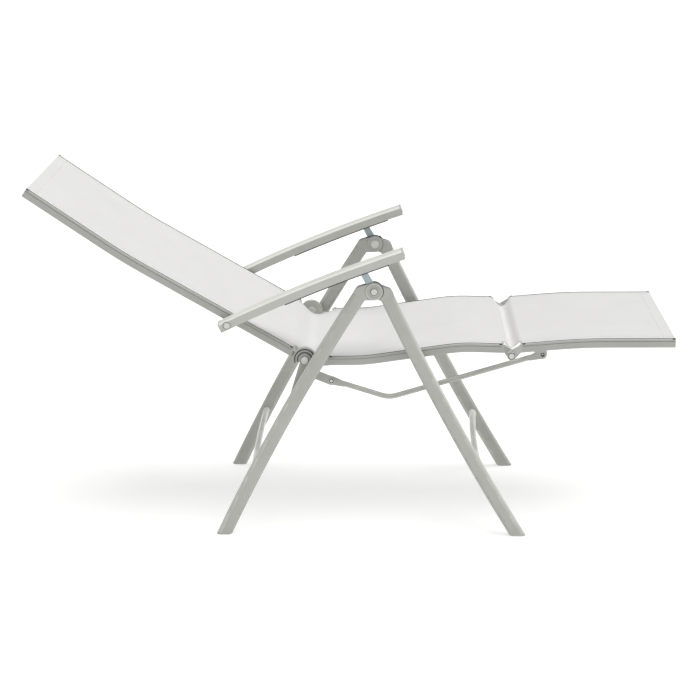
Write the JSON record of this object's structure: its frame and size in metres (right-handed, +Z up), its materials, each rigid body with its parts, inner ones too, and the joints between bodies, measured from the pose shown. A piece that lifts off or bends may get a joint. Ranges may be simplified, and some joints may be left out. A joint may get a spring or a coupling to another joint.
{
  "type": "reclining garden armchair",
  "caption": "Folding reclining garden armchair with a grey tube frame, a pale mesh sling, notched latch armrests and a leg rest linked to the back.",
  "frame": {"origin": "on the floor, under the middle of the chair's overall length and width, fully reclined", "axes": "+X towards the toes (the sitter's front), +Y to the sitter's left, +Z up"},
  "size_m": [1.472, 0.6214, 0.7954],
  "materials": {
    "frame_tube": "satin silver-grey",
    "frame_casting": "satin silver-grey paint",
    "rail": "satin silver-grey",
    "cross_tube": "satin silver-grey",
    "armrest_profile": "satin silver-grey",
    "armrest_cap": "matt grey",
    "rack": "matt black",
    "bolt_cap": "satin silver-grey",
    "steel_bar": "galvanised",
    "steel_rod": "galvanised",
    "steel_pin": "bright zinc",
    "spacer": "matt grey",
    "foot": "matt grey",
    "end_cap": "matt grey",
    "sling": "coated mesh, off-white"
  },
  "bodies": {
    "rear_frame": {"rear_leg_left": "frame_tube", "rear_leg_right": "frame_tube", "rear_knuckle_left": "frame_casting", "rear_knuckle_right": "frame_casting", "apex_bolts": "bolt_cap", "rear_feet": "foot", "rear_cross_bar": "frame_tube", "stay_pins": "steel_pin", "stay_spacers": "spacer"},
    "front_frame": {"front_leg_left": "frame_tube", "front_leg_right": "frame_tube", "front_knuckle_left": "frame_casting", "front_knuckle_right": "frame_casting", "front_feet": "foot", "front_cross_bar": "frame_tube", "seat_bolts": "steel_pin", "seat_spacers": "spacer"},
    "latches": {"latch_plate_left": "steel_bar", "latch_plate_right": "steel_bar", "latch_pins": "steel_pin"},
    "seat": {"seat_rail_left": "rail", "seat_rail_right": "rail", "seat_corner_lugs": "frame_casting", "seat_knee_lugs": "frame_casting", "seat_cross_tubes": "cross_tube", "seat_sling": "sling", "corner_pins": "steel_pin", "knee_pins": "bolt_cap", "corner_sling": "sling", "knee_sling": "sling"},
    "stays": {"stay_left": "steel_bar", "stay_right": "steel_bar", "stay_bolts": "bolt_cap"},
    "back": {"back_rail_left": "rail", "back_rail_right": "rail", "back_corner_lugs": "frame_casting", "back_cross_tubes": "cross_tube", "back_end_caps": "end_cap", "crank_left": "steel_bar", "crank_right": "steel_bar", "back_sling": "sling", "arm_bolts": "bolt_cap", "crank_rivets": "steel_pin"},
    "leg_rest": {"leg_rest_rail_left": "rail", "leg_rest_rail_right": "rail", "leg_rest_knee_lugs": "frame_casting", "leg_rest_cross_tubes": "cross_tube", "leg_rest_brackets": "steel_bar", "leg_rest_end_caps": "end_cap", "leg_rest_sling": "sling"},
    "armrests": {"armrest_left": "armrest_profile", "armrest_right": "armrest_profile", "armrest_rack_left": "rack", "armrest_rack_right": "rack", "armrest_rear_caps": "armrest_cap", "armrest_front_caps": "armrest_cap"},
    "rods": {"link_rod_left": "steel_rod", "link_rod_right": "steel_rod", "rod_rivets": "steel_pin"}
  },
  "joints": [
    {"name": "fold", "type": "hinge", "parent": "rear_frame", "child": "front_frame", "pos_m": [0.05389, 0, 0.572], "axis": [0, 1, 0], "range_deg": [0, 56]},
    {"name": "latch_fold", "type": "hinge", "parent": "rear_frame", "child": "latches", "pos_m": [0.05389, 0, 0.572], "axis": [0, 1, 0], "range_deg": [0, 172.2]},
    {"name": "seat_fold", "type": "hinge", "parent": "front_frame", "child": "seat", "pos_m": [0.15004, 0, 0.42135], "axis": [0, 1, 0], "range_deg": [-82.1, 0]},
    {"name": "stay_fold", "type": "hinge", "parent": "rear_frame", "child": "stays", "pos_m": [-0.13321, 0, 0.30378], "axis": [0, 1, 0], "range_deg": [-117.2, 0]},
    {"name": "recline", "type": "hinge", "parent": "seat", "child": "back", "pos_m": [-0.10311, 0, 0.4065], "axis": [0, 1, 0], "range_deg": [0, 45], "deforming": ["corner_sling"]},
    {"name": "leg_rest_recline", "type": "hinge", "parent": "seat", "child": "leg_rest", "pos_m": [0.36589, 0, 0.417], "axis": [0, 1, 0], "range_deg": [0, 72.9], "deforming": ["knee_sling"]},
    {"name": "armrest_recline", "type": "hinge", "parent": "back", "child": "armrests", "pos_m": [-0.27573, 0, 0.49601], "axis": [0, 1, 0], "range_deg": [-30.9, 0]},
    {"name": "rod_recline", "type": "hinge", "parent": "back", "child": "rods", "pos_m": [-0.04311, 0, 0.35], "axis": [0, 1, 0], "range_deg": [-40.4, 0]}
  ],
  "couplings": [
    {"joint": "latch_fold", "follows": "fold", "ratio": 3.0714},
    {"joint": "seat_fold", "follows": "fold", "ratio": -1.4631},
    {"joint": "stay_fold", "follows": "fold", "ratio": -2.0891},
    {"joint": "leg_rest_recline", "follows": "recline", "ratio": 1.615},
    {"joint": "armrest_recline", "follows": "recline", "ratio": -0.6822},
    {"joint": "rod_recline", "follows": "recline", "ratio": -0.8935}
  ]
}
